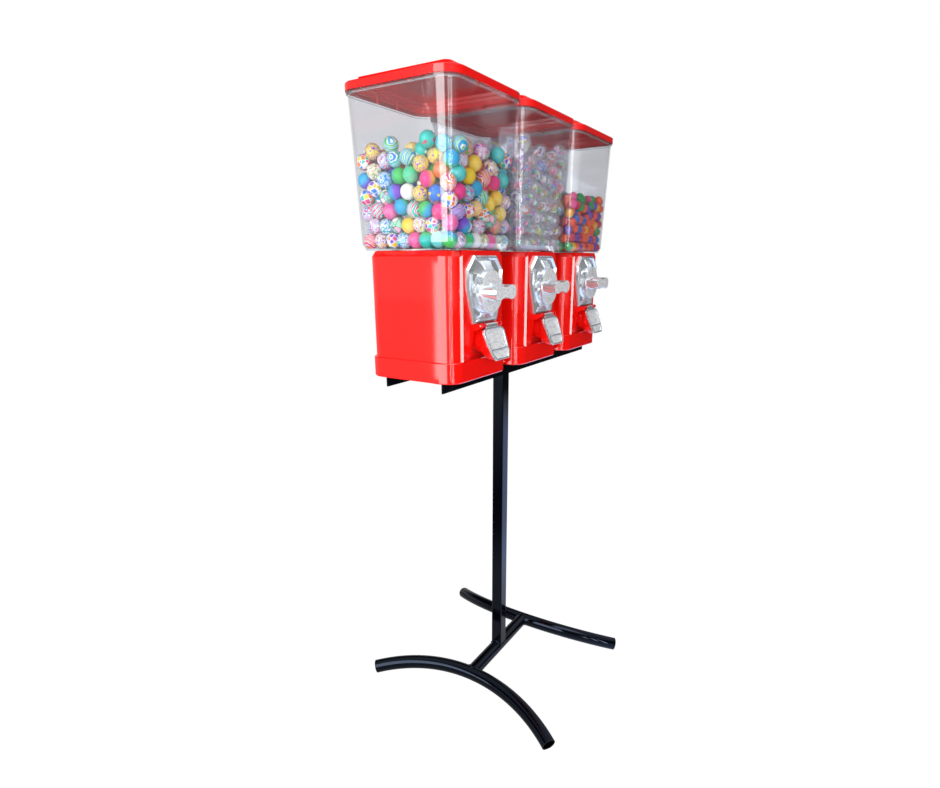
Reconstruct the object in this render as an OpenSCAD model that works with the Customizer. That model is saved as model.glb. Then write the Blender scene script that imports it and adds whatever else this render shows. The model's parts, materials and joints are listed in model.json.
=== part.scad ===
// Triple-head bulk vending machine on a bent-tube stand, in millimetres.
// X runs along the row of heads, the fronts face -Y, +Z is up.
// Origin: on the floor, straight under the post.

/* [Row] */
// distance between neighbouring heads
pitch = 236; // [220:1:280]
// height of the rails' top, where the base pans stand
rail_z = 816; // [600:1:1000]

/* [Stand] */
// outside diameter of the feet and the crossbar
tube_d = 32; // [25:1:45]
// wall of the feet, the crossbar and the post
tube_wall = 2; // [1.5:0.5:3]
// half the length of a foot from end to end
foot_half = 246; // [180:1:320]
// distance of the foot ends from the middle plane
foot_end_x = 206; // [150:1:280]
// how far the foot's middle bows in towards the post
foot_bow = 71; // [30:1:120]
// how far the foot's middle rises above its ends
foot_rise = 35; // [10:1:80]
// side of the square post
post_w = 28; // [20:1:40]
// leg of the angle-iron rails
rail_leg = 20; // [15:1:40]
// thickness of the angle-iron rails
rail_t = 3; // [2:0.5:5]
// length of a rail
rail_len = 642; // [560:1:760]
// distance of the rails' outer faces from the middle
rail_y = 65; // [50:1:80]

/* [Cabinet] */
// width and depth of the cabinet
body_w = 186; // [160:1:220]
// height of the cabinet's top above the rails
body_h = 225; // [180:1:300]
// width and depth of the base pan
pan_w = 195; // [170:1:230]
// height of the base pan
pan_h = 37; // [25:1:60]
// how far the corner centres sit inside the body's half width
body_round = 27; // [15:1:40]
// bevel round the cabinet's top edge
top_bevel = 10; // [4:0.5:16]
// half width of the raised front panel
panel_half = 69; // [60:1:80]
// how far the front panel stands proud
panel_proud = 4; // [2:0.5:8]
// depth of the pocket under the coin plate
pocket_depth = 14; // [8:0.5:20]

/* [Hopper] */
// height of the hopper
hopper_h = 259.6; // [200:0.1:320]
// half width of the hopper at its rim
hopper_top = 112; // [100:0.5:116]
// half width above the bottom bevel
hopper_low = 101.5; // [90:0.5:110]
// half width of the bottom face
hopper_foot = 94; // [85:0.5:105]
// wall thickness of the clear hopper
hopper_wall = 2.5; // [2:0.25:4]

/* [Lid] */
// half width of the lid
lid_half = 116; // [112:0.5:118]
// depth of the lid's skirt
lid_skirt = 12.2; // [8:0.1:20]
// inset of the first raised step from the lid's edge
lid_inset = 14.5; // [8:0.5:30]
// height of each raised step
lid_step = 4.8; // [2:0.1:8]

/* [Coin mechanism] */
// height of the knob's axis above the rails
knob_h = 155.5; // [130:0.5:180]
// diameter of the knob's disc
disc_d = 76.8; // [60:0.2:90]
// length of the knob's handle bar
bar_len = 72; // [50:1:80]
// thickness of the bar's round lobes
bar_lobe = 25; // [16:0.5:30]
// thickness of the bar's waist
bar_waist = 18; // [12:0.5:24]

/* [Product wheel] */
// teeth on the drive gear
gear_teeth = 14; // [10:1:20]
// crown teeth under the product wheel
crown_teeth = 28; // [20:1:40]
// mean radius of the crown teeth
crown_r = 63; // [50:1:70]
// number of pockets in the product wheel
pocket_n = 6; // [4:1:8]
// diameter of a pocket
pocket_d = 31; // [24:0.5:32]

/* [Chute and flap] */
// outside radius of the round chute cup
cup_r = 29; // [24:0.5:34]
// lean of the closed flap from upright
flap_lean = 22; // [5:1:35]
// length of the flap below its hinge
flap_len = 66; // [50:1:80]
// half width across the flap's shoulders
flap_half = 36; // [28:0.5:40]

/* [Contents] */
// diameter of the bouncy balls in the left head
bouncy_d = 27; // [22:0.5:32]
// diameter of the capsules in the middle head
capsule_d = 28; // [24:0.5:32]
// diameter of the gumballs in the right head
gum_d = 21; // [16:0.5:25]

/* [Hidden] */
$fn = 72;
eps = 0.01;
HEADS = ["left", "middle", "right"];
HEAD_NODES = ["base_pan", "cabinet", "hopper", "lid", "coin_plate", "mech_case", "knob",
              "drive_gear", "wheel_seat", "wheel_axle", "product_wheel", "chute", "flap", "hinge_pin"];

tube_r = tube_d / 2;
foot_z = tube_r - 1.8;                      // tube centre at the foot ends
bar_z = foot_z + foot_rise;                 // centre of the crossbar
foot_sag = norm([foot_bow, foot_rise]);
foot_R = (foot_half * foot_half + foot_sag * foot_sag) / (2 * foot_sag);
foot_tilt = atan2(foot_rise, foot_bow);
foot_sweep = asin(foot_half / foot_R);
foot_mid_x = foot_end_x - foot_bow;
plate_t = 5;
post_top = rail_z - rail_t - plate_t;

body_c = body_w / 2 - body_round;           // corner centres of cabinet and pan
body_z = rail_z + pan_h - 15;               // underside of the cabinet, inside the pan
body_top = rail_z + body_h;
body_r = body_round;
sheet = 2.5;
seam_z = body_top - 30;
panel_y = -body_w / 2 - panel_proud;
pan_z = rail_z + pan_h;
knob_z = rail_z + knob_h;

hop_c = 82;                                 // corner centres of hopper and lid
hop_z = body_top;
hop_top_z = hop_z + hopper_h;
bevel_z = hop_z + 12;
rim_z = hop_top_z - 13;
lid_z = rim_z + 3.7;                        // lower edge of the lid's skirt
lid_r = lid_half - hop_c;
lid_top = lid_z + lid_skirt;

plate_out = [[-38.5, -54.5], [38.5, -54.5], [59.5, 8], [59.5, 38.5],
             [37.5, 61.5], [-37.5, 61.5], [-59.5, 38.5], [-59.5, 8]];
disc_y = panel_y - 19;                      // front face of the disc
bar_y = disc_y - 29;                        // front face of the handle bar
shaft_r = 5;
tooth = 5;                                  // height of the gear teeth
gear_R = crown_r * gear_teeth / crown_teeth;
crown_z = knob_z + gear_R + tooth / 2 + 1;  // underside of the product wheel
wheel_r = crown_r + 9;
wheel_t = 23.5;
drop_r = 35;                                // radius of the ring of pockets
seat_z = crown_z - 10;

hinge_y = panel_y - 15.5;
hinge_z = rail_z + 98;
cup_y = hinge_y - 35 * sin(flap_lean) + 4 * cos(flap_lean);
cup_z = hinge_z - 35 * cos(flap_lean) - 4 * sin(flap_lean);
pin_r = 1.6;

// rounded square block: corner centres at +-c, profile points [radius, height]
module ring_block(c, pts) {
    n = len(pts);
    for (x = [-c, c], y = [-c, c]) translate([x, y, 0]) rotate_extrude() polygon(pts);
    for (a = [0, 90]) rotate([0, 0, a]) rotate([90, 0, 90])
        linear_extrude(2 * c, center = true)
            polygon(concat([for (p = pts) [c + p[0], p[1]]],
                           [for (i = [n - 1:-1:0]) [-c - pts[i][0], pts[i][1]]]));
}

// plain wall of a rounded square between two heights
module ring_slab(c, r, z0, z1) ring_block(c, [[0, z0], [r, z0], [r, z1], [0, z1]]);

// stands a flat drawing upright so that its thickness grows towards the front
module upright(y = 0, z = 0) translate([0, y, z]) rotate([90, 0, 0]) children();

// puts a part in its place in the row
module at_head(i) translate([(i - 1) * pitch, 0, 0]) children();

function side(P, i) = let (d = P[(i + 1) % len(P)] - P[i]) [-d[1], d[0]] / norm(d);
function inset(P, k) = [for (i = [0:len(P) - 1])
    let (a = side(P, (i + len(P) - 1) % len(P)), b = side(P, i)) P[i] + k * (a + b) / (1 + a * b)];

// ---- stand ----

// bow of one foot; s = -1 left, 1 right
module foot_arc(s, r, bore = 0) {
    cx = foot_mid_x + foot_R * cos(foot_tilt);
    cz = bar_z - foot_R * sin(foot_tilt);
    mirror([s < 0 ? 1 : 0, 0, 0]) translate([cx, 0, cz]) rotate([0, foot_tilt, 0])
        rotate([0, 0, 180 - foot_sweep]) rotate_extrude(angle = 2 * foot_sweep, $fn = 200)
            translate([foot_R, 0]) difference() {
                circle(r, $fn = 48);
                if (bore > 0) circle(bore, $fn = 48);
            }
}

module foot(s) color([0.05, 0.05, 0.06]) difference() {
    foot_arc(s, tube_r, tube_r - tube_wall);
    translate([-400, -400, -50]) cube([800, 800, 50]);
}

module crossbar() color([0.05, 0.05, 0.06]) difference() {
    translate([-foot_mid_x, 0, bar_z]) rotate([0, 90, 0]) difference() {
        cylinder(h = 2 * foot_mid_x, r = tube_r);
        translate([0, 0, -1]) cylinder(h = 2 * foot_mid_x + 2, r = tube_r - tube_wall);
    }
    for (s = [-1, 1]) foot_arc(s, tube_r);
}

module post() color([0.05, 0.05, 0.06]) difference() {
    translate([0, 0, bar_z]) linear_extrude(post_top - bar_z) difference() {
        union() {
            for (a = [0, 90]) rotate(a) square([post_w, post_w - 6], center = true);
            for (x = [-1, 1], y = [-1, 1])
                translate([x, y] * (post_w / 2 - 3)) circle(3);
        }
        square(post_w - 2 * tube_wall, center = true);
    }
    translate([0, 0, bar_z]) rotate([0, 90, 0]) cylinder(h = 100, r = tube_r, center = true);
}

module head_plate() color([0.05, 0.05, 0.06])
    translate([-45, -rail_y + rail_t, post_top]) cube([90, 2 * (rail_y - rail_t), plate_t]);

// angle iron along the row; s = -1 front, 1 rear
module rail(s) color([0.05, 0.05, 0.06]) difference() {
    mirror([0, s > 0 ? 1 : 0, 0]) rotate([90, 0, 90]) linear_extrude(rail_len, center = true)
        translate([-rail_y, rail_z]) union() {
            translate([0, -rail_leg]) square([rail_t, rail_leg]);
            translate([0, -rail_t]) square([rail_leg, rail_t]);
        }
    bolt_spots() cylinder(h = 60, r = 3.3, center = true);
}

module bolt_spots() for (i = [0:2], x = [-60, 60], y = [-1, 1])
    at_head(i) translate([x, y * (rail_y - 9), rail_z]) children();

module rail_bolts() color([0.6, 0.6, 0.62]) bolt_spots() {
    translate([0, 0, -rail_t - 4]) cylinder(h = 4, r = 5.8, $fn = 6);
    translate([0, 0, -rail_t - 1]) cylinder(h = rail_t + 12, r = 3);
    translate([0, 0, 3]) cylinder(h = 5, r = 5.8, $fn = 6);
}

// ---- cabinet ----

module base_pan(i) color([0.85, 0.05, 0.07]) difference() {
    r = pan_w / 2 - body_c;
    at_head(i) difference() {
        ring_block(body_c, [[0, rail_z], [r - 2, rail_z], [r, rail_z + 2], [r, pan_z - 1],
                            [r - 1, pan_z], [0, pan_z]]);
        ring_slab(body_c, body_r - 5, rail_z + 3, pan_z + 1);
        ring_slab(body_c, body_r + 0.3, body_z, pan_z + 1);
    }
    bolt_spots() cylinder(h = 60, r = 3.3, center = true);
}

// raised front panel with bevelled top corners
module front_panel() intersection() {
    upright(-60) linear_extrude(60) polygon([
        [-panel_half, pan_z + 0.5], [panel_half, pan_z + 0.5], [panel_half, body_top - 12],
        [panel_half - 13, body_top], [13 - panel_half, body_top], [-panel_half, body_top - 12]]);
    translate([0, 0, body_z]) linear_extrude(body_h) polygon([
        [-panel_half, -60], [-panel_half, 1 - body_w / 2], [4 - panel_half, panel_y],
        [panel_half - 4, panel_y], [panel_half, 1 - body_w / 2], [panel_half, -60]]);
}

// pocket under the coin plate, wider at its foot, with sloping cheeks
module pocket(grow = 0) intersection() {
    upright(-60) linear_extrude(60) polygon([
        [-47 - grow, pan_z - 1 - grow], [47 + grow, pan_z - 1 - grow],
        [31 + grow, hinge_z - 11 + grow], [-31 - grow, hinge_z - 11 + grow]]);
    translate([0, 0, body_z - 5]) linear_extrude(body_h) polygon([
        [-52 - grow, panel_y - 1], [-36 - grow, panel_y + pocket_depth + grow],
        [36 + grow, panel_y + pocket_depth + grow], [52 + grow, panel_y - 1]]);
}

// block with the cabinet's bevelled top; t makes it smaller all round for the hollow
module shell_block(z0, t) {
    r = body_r - t;
    top = body_top - t;
    ring_block(body_c, [[0, z0], [r, z0], [r, top - top_bevel],
        [r - 0.6 * top_bevel, top - 0.12 * top_bevel], [r - top_bevel, top], [0, top]]);
}

module cabinet(i) color([0.88, 0.04, 0.07]) at_head(i) difference() {
    r = body_r;
    union() {
        difference() {
            shell_block(body_z, 0);
            // the seam between the body and its top
            difference() {
                ring_slab(body_c, r + 5, seam_z, seam_z + 1);
                ring_slab(body_c, r - 0.5, seam_z - 1, seam_z + 2);
            }
        }
        front_panel();
    }
    difference() {
        shell_block(body_z - 1, sheet);
        pocket(sheet);
    }
    pocket();
    translate([0, 0, body_top - 10]) cylinder(h = 20, r = wheel_r + 4);
    translate([-36.5, -body_w / 2 - 10, knob_z - 33]) cube([73, 30, 66]);
    translate([0, cup_y, cup_z]) rotate([-90 + 16, 0, 0]) cylinder(h = 60, r = cup_r - 4.5);
}

// ---- hopper and lid ----

module hopper(i) color([0.85, 0.9, 0.95, 0.35]) at_head(i) difference() {
    t = hopper_wall;
    f = hopper_foot - hop_c;
    l = hopper_low - hop_c;
    u = hopper_top - hop_c;
    ring_block(hop_c, [[0, hop_z], [f, hop_z], [l, bevel_z], [u, rim_z], [u + 3, rim_z],
                       [u + 3, rim_z + 3.2], [u, rim_z + 3.2], [u, hop_top_z], [0, hop_top_z]]);
    ring_block(hop_c, [[0, hop_z + 3], [f - 1, hop_z + 3], [l - t, bevel_z + 1],
                       [u - t, rim_z], [u - t, hop_top_z + 1], [0, hop_top_z + 1]]);
    translate([0, 0, hop_z - 1]) cylinder(h = 10, r = wheel_r + 12);
}

module lid(i) color([0.85, 0.05, 0.06]) at_head(i) {
    a = lid_r - lid_inset;
    b = a - 7;
    difference() {
        ring_block(hop_c, [[0, lid_z], [lid_r, lid_z], [lid_r, lid_top - 1.5],
            [lid_r - 1.5, lid_top], [a, lid_top], [a - 1, lid_top + lid_step],
            [b, lid_top + lid_step], [b - 1, lid_top + 2 * lid_step], [0, lid_top + 2 * lid_step]]);
        ring_block(hop_c, [[0, lid_z - 1], [lid_r - 2.2, lid_z - 1], [lid_r - 2.2, lid_top - sheet],
            [a - 2, lid_top - sheet], [a - 3, lid_top + lid_step - sheet],
            [b - 2, lid_top + lid_step - sheet], [b - 3, lid_top + 2 * lid_step - sheet],
            [0, lid_top + 2 * lid_step - sheet]]);
    }
    // locating rib just inside the hopper's rim, with its pegs
    difference() {
        ring_slab(hop_c, 25, lid_top - 9, lid_top - sheet + 0.5);
        ring_slab(hop_c, 23, lid_top - 10, lid_top);
    }
    for (q = [0:3], s = [-1, 1]) rotate(90 * q)
        translate([s * 27.5 - 2, hop_c + 21.5, lid_top - 15]) cube([4, 3, 14]);
}

// ---- coin mechanism ----

// sloping ring of flats between two insets of the plate's outline
module flats(k0, z0, k1, z1) hull() {
    translate([0, 0, z0]) linear_extrude(eps) polygon(inset(plate_out, k0));
    translate([0, 0, z1]) linear_extrude(eps) polygon(inset(plate_out, k1));
}

// wedge that rises from the rim to the boss, with upright ribs on its face
module ribbed_wedge(foot_y, foot_half_w, head_y, head_half_w, rise) {
    hull() for (e = [[foot_y, foot_half_w, 2.9], [head_y, head_half_w, 3 + rise],
                     [foot_y, foot_half_w + 12, 2], [head_y - 16, foot_half_w + 22, 2]])
        translate([-e[1], e[0], e[2]]) cube([2 * e[1], eps, eps]);
    for (x = [-head_half_w : 4 : head_half_w + eps]) translate([x - 0.9, 0, 0])
        rotate([90, 0, 90]) linear_extrude(1.8) polygon([[foot_y - 1, 2.5], [foot_y - 1, 4.4],
            [head_y, 4.4 + rise], [head_y - 2, 4.4 + rise], [head_y - 2, 2.5]]);
}

module coin_plate(i) color([0.8, 0.81, 0.83]) at_head(i) upright(panel_y, knob_z) difference() {
    union() {
        // base with a raised rim
        difference() {
            union() {
                linear_extrude(3.5) polygon(plate_out);
                flats(0, 3.4, 2.5, 7);
            }
            flats(8, 2.99, 4.5, 7.01);
        }
        intersection() {
            linear_extrude(20) polygon(inset(plate_out, 6));
            union() {
                ribbed_wedge(54, 20, 37, 12, 9);
                mirror([0, 1, 0]) ribbed_wedge(49, 24, 37, 20, 5);
            }
        }
        // turned boss behind the disc
        rotate_extrude() polygon([[0, 2], [disc_d / 2 + 3, 2], [disc_d / 2 + 3, 5], [disc_d / 2, 8],
            [disc_d / 2 - 1.4, 8], [disc_d / 2 - 1.4, 14], [0, 14]]);
        // raised coin shelf
        translate([-51, 0, 0]) rotate([90, 0, 90])
            linear_extrude(34) polygon([[-4, 3], [13, 10.5], [31, 10.5], [32.5, 3]]);
    }
    // coin opening beside the disc
    translate([-43, 19, 4.5]) cube([18, 7, 12]);
    translate([0, 0, -1]) cylinder(h = 20, r = shaft_r + 1);
}

module mech_case(i) color([0.55, 0.56, 0.58]) at_head(i) upright(panel_y, knob_z) difference() {
    translate([-36, -32.5, -21]) cube([72, 65, 21]);
    for (x = [-1, 1]) translate([x * 36, 32.5, -22]) rotate(45) cube([14, 14, 50], center = true);
    translate([0, 0, -22]) cylinder(h = 30, r = shaft_r + 0.08);
}

module knob(i) color([0.8, 0.81, 0.83]) at_head(i) upright(disc_y, knob_z) {
    // round disc with eased edges
    rotate_extrude() polygon([[0, -4.6], [disc_d / 2 - 0.8, -4.6], [disc_d / 2, -3.8],
                              [disc_d / 2, -0.8], [disc_d / 2 - 0.8, 0], [0, 0]]);
    rotate_extrude() polygon([[0, -1], [16, -1], [16, 1.5], [13.5, 5], [0, 5]]);
    // bar handle: two round lobes and a drawn-in waist
    e = bar_len / 2 - bar_lobe / 2;
    d = (bar_lobe - bar_waist) / 2;
    R = (e * e * 0.46 + d * d) / (2 * d);
    linear_extrude(disc_y - bar_y) difference() {
        union() {
            for (x = [-e, e]) translate([x, 0]) circle(bar_lobe / 2);
            square([2 * e, bar_lobe], center = true);
        }
        for (y = [-1, 1]) translate([0, y * (bar_waist / 2 + R)]) circle(R, $fn = 144);
    }
    translate([0, 0, -60.5]) cylinder(h = 57, r = shaft_r);
}

// pinion on the knob's shaft, under the front of the product wheel
module drive_gear(i) color([0.75, 0.7, 0.5]) at_head(i) upright(-crown_r + 5, knob_z) {
    difference() {
        union() {
            cylinder(h = 10, r = gear_R - tooth / 2);
            translate([0, 0, -3]) cylinder(h = 15, r = 11);
            for (k = [0:gear_teeth - 1]) rotate((k + 0.5) * 360 / gear_teeth)
                linear_extrude(10) polygon([[-2.5, gear_R - tooth / 2 - 1], [2.5, gear_R - tooth / 2 - 1],
                    [2.5, gear_R - tooth / 2], [1.7, gear_R + tooth / 2], [-1.7, gear_R + tooth / 2],
                    [-2.5, gear_R - tooth / 2]]);
        }
        translate([0, 0, -4]) cylinder(h = 20, r = shaft_r);
    }
}

// ---- product wheel ----

module wheel_seat(i) color([0.92, 0.92, 0.9]) at_head(i) difference() {
    union() {
        translate([0, 0, body_top]) cylinder(h = 2, r = wheel_r + 10);
        translate([0, 0, seat_z]) cylinder(h = body_top - seat_z + 1, r = wheel_r + 3.5);
    }
    translate([0, 0, seat_z + 3]) cylinder(h = 80, r = wheel_r + 1);
    translate([0, -drop_r, seat_z - 1]) cylinder(h = 9, r = pocket_d / 2 + 1);
    translate([0, 0, seat_z - 1]) cylinder(h = 9, r = 6);
    translate([-27, -crown_r - 9, seat_z - 1]) cube([54, 15, 5]);
}

module wheel_axle(i) color([0.6, 0.6, 0.62]) at_head(i) translate([0, 0, seat_z]) {
    translate([0, 0, -3]) cylinder(h = 3, r = 10);
    cylinder(h = 36, r = 6);
}

module product_wheel(i) color([0.95, 0.95, 0.92]) at_head(i) translate([0, 0, crown_z]) {
    difference() {
        union() {
            cylinder(h = wheel_t, r = wheel_r);
            translate([0, 0, wheel_t - 1]) cylinder(h = 5, r1 = 16, r2 = 10);
        }
        for (k = [0:pocket_n - 1]) rotate(-90 + k * 360 / pocket_n)
            translate([drop_r, 0, -1]) cylinder(h = wheel_t + 6, r = pocket_d / 2);
        translate([0, 0, -1]) cylinder(h = wheel_t + 8, r = 6.06);
    }
    // crown teeth that the drive gear pushes
    for (k = [0:crown_teeth - 1]) rotate(-90 + k * 360 / crown_teeth)
        translate([crown_r - 5, 0, -tooth]) rotate([90, 0, 90]) linear_extrude(10)
            polygon([[-1.7, 0.5], [1.7, 0.5], [2.5, tooth], [2.5, tooth + 1], [-2.5, tooth + 1],
                     [-2.5, tooth]]);
}

// ---- chute and flap ----

// frame of the closed flap: X along the hinge, Y up the flap, Z towards the customer
module flap_frame() translate([0, hinge_y, hinge_z]) rotate([90 - flap_lean, 0, 0]) children();

// round-bottomed hood at the front, sloping neck and upright duct; k thickens roof and floor
module cup(r, neck, duct, k) {
    roof = hinge_z - 10.5 - cup_z + k;
    translate([0, cup_y, cup_z]) {
        rotate_extrude($fn = 96) polygon(concat([[0, roof], [0, -r]],
            [for (a = [-85 : 5 : 0]) r * [cos(a), sin(a)]], [[r, roof]]));
        rotate([-90 + 16, 0, 0]) cylinder(h = -cup_y - drop_r + k, r = neck);
    }
    translate([0, -drop_r, cup_z + 12 - k]) cylinder(h = seat_z - cup_z - 13 + (k > 0 ? k : 5), r = duct);
}

module chute(i) color([0.88, 0.04, 0.07]) at_head(i) difference() {
    union() {
        cup(cup_r, cup_r - 5, pocket_d / 2 + 3.5, 2.5);
        // hinge plate on the panel, with two pairs of lugs
        translate([-35, panel_y - 3.5, hinge_z - 9]) cube([70, 3.5, 11.2]);
        for (x = [-34.5, -25, 20.6, 30.1]) translate([x, 0, 0]) rotate([90, 0, 90])
            linear_extrude(4.4) union() {
                translate([hinge_y, hinge_z]) circle(4.2);
                polygon([[hinge_y - 1, hinge_z + 4], [panel_y - 3, hinge_z + 2],
                         [panel_y - 3, hinge_z - 9], [hinge_y - 1, hinge_z - 4]]);
            }
    }
    cup(cup_r - 2.5, cup_r - 7.5, pocket_d / 2 + 1, 0);
    flap_frame() translate([-60, -90, -1.2]) cube([120, 84, 60]);
    translate([-50, hinge_y, hinge_z]) rotate([0, 90, 0]) cylinder(h = 100, r = pin_r);
}

module flap(i) color([0.8, 0.81, 0.83]) at_head(i) flap_frame() difference() {
    w = flap_half;
    n = flap_len;
    out = [[-21, -5.4], [4 - w, -8.5], [-w, -14], [6.5 - w, 10 - n], [14 - w, -n], [w - 14, -n],
           [w - 6.5, 10 - n], [w, -14], [w - 4, -8.5], [21, -5.4]];
    union() {
        translate([0, 0, -0.5]) linear_extrude(4.5) polygon(out);
        translate([-20, -6, -0.5]) cube([40, 6, 3]);
        translate([-20, 0, 0]) rotate([0, 90, 0]) cylinder(h = 40, r = 3.4);
    }
    // sunk panels above and below the cross rib
    difference() {
        translate([0, 0, 2.2]) linear_extrude(5) polygon(inset(out, 3.5));
        translate([-w, 18 - n, 0]) cube([2 * w, 3, 6]);
    }
    translate([-21, 0, 0]) rotate([0, 90, 0]) cylinder(h = 42, r = pin_r + 0.06);
}

module hinge_pin(i) color([0.6, 0.6, 0.62]) at_head(i) translate([-34.5, hinge_y, hinge_z])
    rotate([0, 90, 0]) cylinder(h = 69, r = pin_r);

// ---- contents ----

// half width that a ball of radius r can reach in the hopper at height z
function reach(z, r) = let (k = (z - bevel_z) / (rim_z - bevel_z),
    w = hopper_low - hop_c - hopper_wall + (hopper_top - hopper_low) * max(k, 0))
    hop_c + (w - r - 1.3) / sqrt(2);

// layers of balls, every other layer set into the gaps of the one below; under the top
// layer only the outer balls are made, as the rest can't be seen
module fill(i, d, top) {
    r = d / 2;
    z0 = hop_z + 3.5 + r;
    s0 = 2 * reach(z0, r) / floor(2 * reach(z0, r) / (d + 0.1));
    dz = sqrt((d + 0.1) * (d + 0.1) - s0 * s0 / 2);
    last = floor((top - z0) / dz);
    for (k = [0:last]) {
        z = z0 + k * dz;
        n = floor(2 * reach(z0, r) / (d + 0.1)) - (k % 2);
        e = reach(z, r) * (k % 2 == 0 ? 1 : n / (n + 1));
        for (x = [0:n], y = [0:n]) if (k == last || x * y == 0 || x == n || y == n)
            at_head(i) translate([-e + 2 * e * x / n, -e + 2 * e * y / n, z]) sphere(r, $fn = 20);
    }
}

module bouncy_balls() color([0.2, 0.7, 0.75]) fill(0, bouncy_d, hop_z + 155);
module toy_capsules() color([0.8, 0.5, 0.85]) fill(1, capsule_d, hop_z + 190);
module gumballs() color([0.95, 0.5, 0.1]) fill(2, gum_d, hop_z + 125);

foot(-1);  // foot_left
foot(1);  // foot_right
crossbar();
post();
head_plate();
rail(-1);  // rail_front
rail(1);  // rail_rear
rail_bolts();
bouncy_balls();
toy_capsules();
gumballs();
base_pan(0);  // base_pan_left
cabinet(0);  // cabinet_left
hopper(0);  // hopper_left
lid(0);  // lid_left
coin_plate(0);  // coin_plate_left
mech_case(0);  // mech_case_left
knob(0);  // knob_left
drive_gear(0);  // drive_gear_left
wheel_seat(0);  // wheel_seat_left
wheel_axle(0);  // wheel_axle_left
product_wheel(0);  // product_wheel_left
chute(0);  // chute_left
flap(0);  // flap_left
hinge_pin(0);  // hinge_pin_left
base_pan(1);  // base_pan_middle
cabinet(1);  // cabinet_middle
hopper(1);  // hopper_middle
lid(1);  // lid_middle
coin_plate(1);  // coin_plate_middle
mech_case(1);  // mech_case_middle
knob(1);  // knob_middle
drive_gear(1);  // drive_gear_middle
wheel_seat(1);  // wheel_seat_middle
wheel_axle(1);  // wheel_axle_middle
product_wheel(1);  // product_wheel_middle
chute(1);  // chute_middle
flap(1);  // flap_middle
hinge_pin(1);  // hinge_pin_middle
base_pan(2);  // base_pan_right
cabinet(2);  // cabinet_right
hopper(2);  // hopper_right
lid(2);  // lid_right
coin_plate(2);  // coin_plate_right
mech_case(2);  // mech_case_right
knob(2);  // knob_right
drive_gear(2);  // drive_gear_right
wheel_seat(2);  // wheel_seat_right
wheel_axle(2);  // wheel_axle_right
product_wheel(2);  // product_wheel_right
chute(2);  // chute_right
flap(2);  // flap_right
hinge_pin(2);  // hinge_pin_right
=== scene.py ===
import json
import math

import bmesh
import bpy
import numpy as np
from mathutils import Matrix, Quaternion, Vector


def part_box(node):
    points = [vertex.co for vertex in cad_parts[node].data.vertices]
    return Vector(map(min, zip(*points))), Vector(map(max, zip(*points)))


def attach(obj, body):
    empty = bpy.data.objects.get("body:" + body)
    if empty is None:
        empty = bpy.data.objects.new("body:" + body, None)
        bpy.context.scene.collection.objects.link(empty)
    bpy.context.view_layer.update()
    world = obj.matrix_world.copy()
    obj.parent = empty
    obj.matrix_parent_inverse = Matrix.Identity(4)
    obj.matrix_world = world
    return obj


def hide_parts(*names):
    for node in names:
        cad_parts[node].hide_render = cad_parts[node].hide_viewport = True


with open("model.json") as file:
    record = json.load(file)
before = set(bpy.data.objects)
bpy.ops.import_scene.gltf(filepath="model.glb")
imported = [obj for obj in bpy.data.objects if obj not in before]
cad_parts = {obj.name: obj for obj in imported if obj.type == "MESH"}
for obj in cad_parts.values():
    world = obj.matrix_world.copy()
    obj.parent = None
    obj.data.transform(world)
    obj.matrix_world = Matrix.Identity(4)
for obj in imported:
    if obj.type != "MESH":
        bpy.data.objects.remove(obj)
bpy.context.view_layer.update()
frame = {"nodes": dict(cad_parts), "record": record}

# ---------------------------------------------------------------- sizes, in metres

MM = 0.001
HEADS = ["left", "middle", "right"]
HEAD_X = {h: (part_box(f"cabinet_{h}")[0].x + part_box(f"cabinet_{h}")[1].x) / 2 for h in HEADS}
FIXED = "stand_and_cabinets"

# the room inside a hopper
HOPPER_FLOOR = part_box("hopper_left")[0].z + 3 * MM
HOPPER_BEVEL = HOPPER_FLOOR + 10 * MM           # the top of the bevel round its foot
HOPPER_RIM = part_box("lid_left")[0].z - 3.7 * MM
HOPPER_HALVES = [93 * MM, 99 * MM, 109.5 * MM]  # half widths at the three heights above
CORNER = 82 * MM                                # centres of its rounded corners
WHEEL_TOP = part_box("wheel_seat_left")[1].z - 13 * MM
WHEEL_RADIUS = 72 * MM

# diameters of the balls
BOUNCY_D = 27 * MM
CAPSULE_D = 28 * MM
GUM_D = 21 * MM


# ---------------------------------------------------------------- material helpers

def linear(colour):
    """An sRGB hex colour as linear red, green, blue and alpha."""
    parts = [int(colour[i:i + 2], 16) / 255 for i in (1, 3, 5)]
    return [c / 12.92 if c <= 0.04045 else ((c + 0.055) / 1.055) ** 2.4 for c in parts] + [1.0]


def add(tree, kind, values=None, links=None, stops=None, **settings):
    """Adds a node: settings are its properties, values and links go to its sockets.

    stops are the places and colours of a colour ramp."""
    node = tree.nodes.new("ShaderNode" + kind)
    for name, value in settings.items():
        setattr(node, name, value)
    for socket, value in (values or {}).items():
        node.inputs[socket].default_value = linear(value) if isinstance(value, str) else value
    for socket, source in (links or {}).items():
        tree.links.new(source, node.inputs[socket])
    for i, (place, colour) in enumerate(stops or []):
        ramp = node.color_ramp.elements
        stop = ramp[i] if i < 2 else ramp.new(place)
        stop.position = place
        stop.color = linear(colour)
    return node


def new_material(name, colour, **shader):
    """A Principled material; shader gives its constants by socket name, with _ for a space."""
    made = bpy.data.materials.new(name)
    made.use_nodes = True
    tree = made.node_tree
    surface = tree.nodes["Principled BSDF"]
    surface.inputs["Base Color"].default_value = linear(colour)
    for socket, value in shader.items():
        socket = surface.inputs[socket.replace("_", " ")]
        socket.default_value = linear(value) if isinstance(value, str) else value
    made.diffuse_color = linear(colour)
    return made, tree, surface


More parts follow.
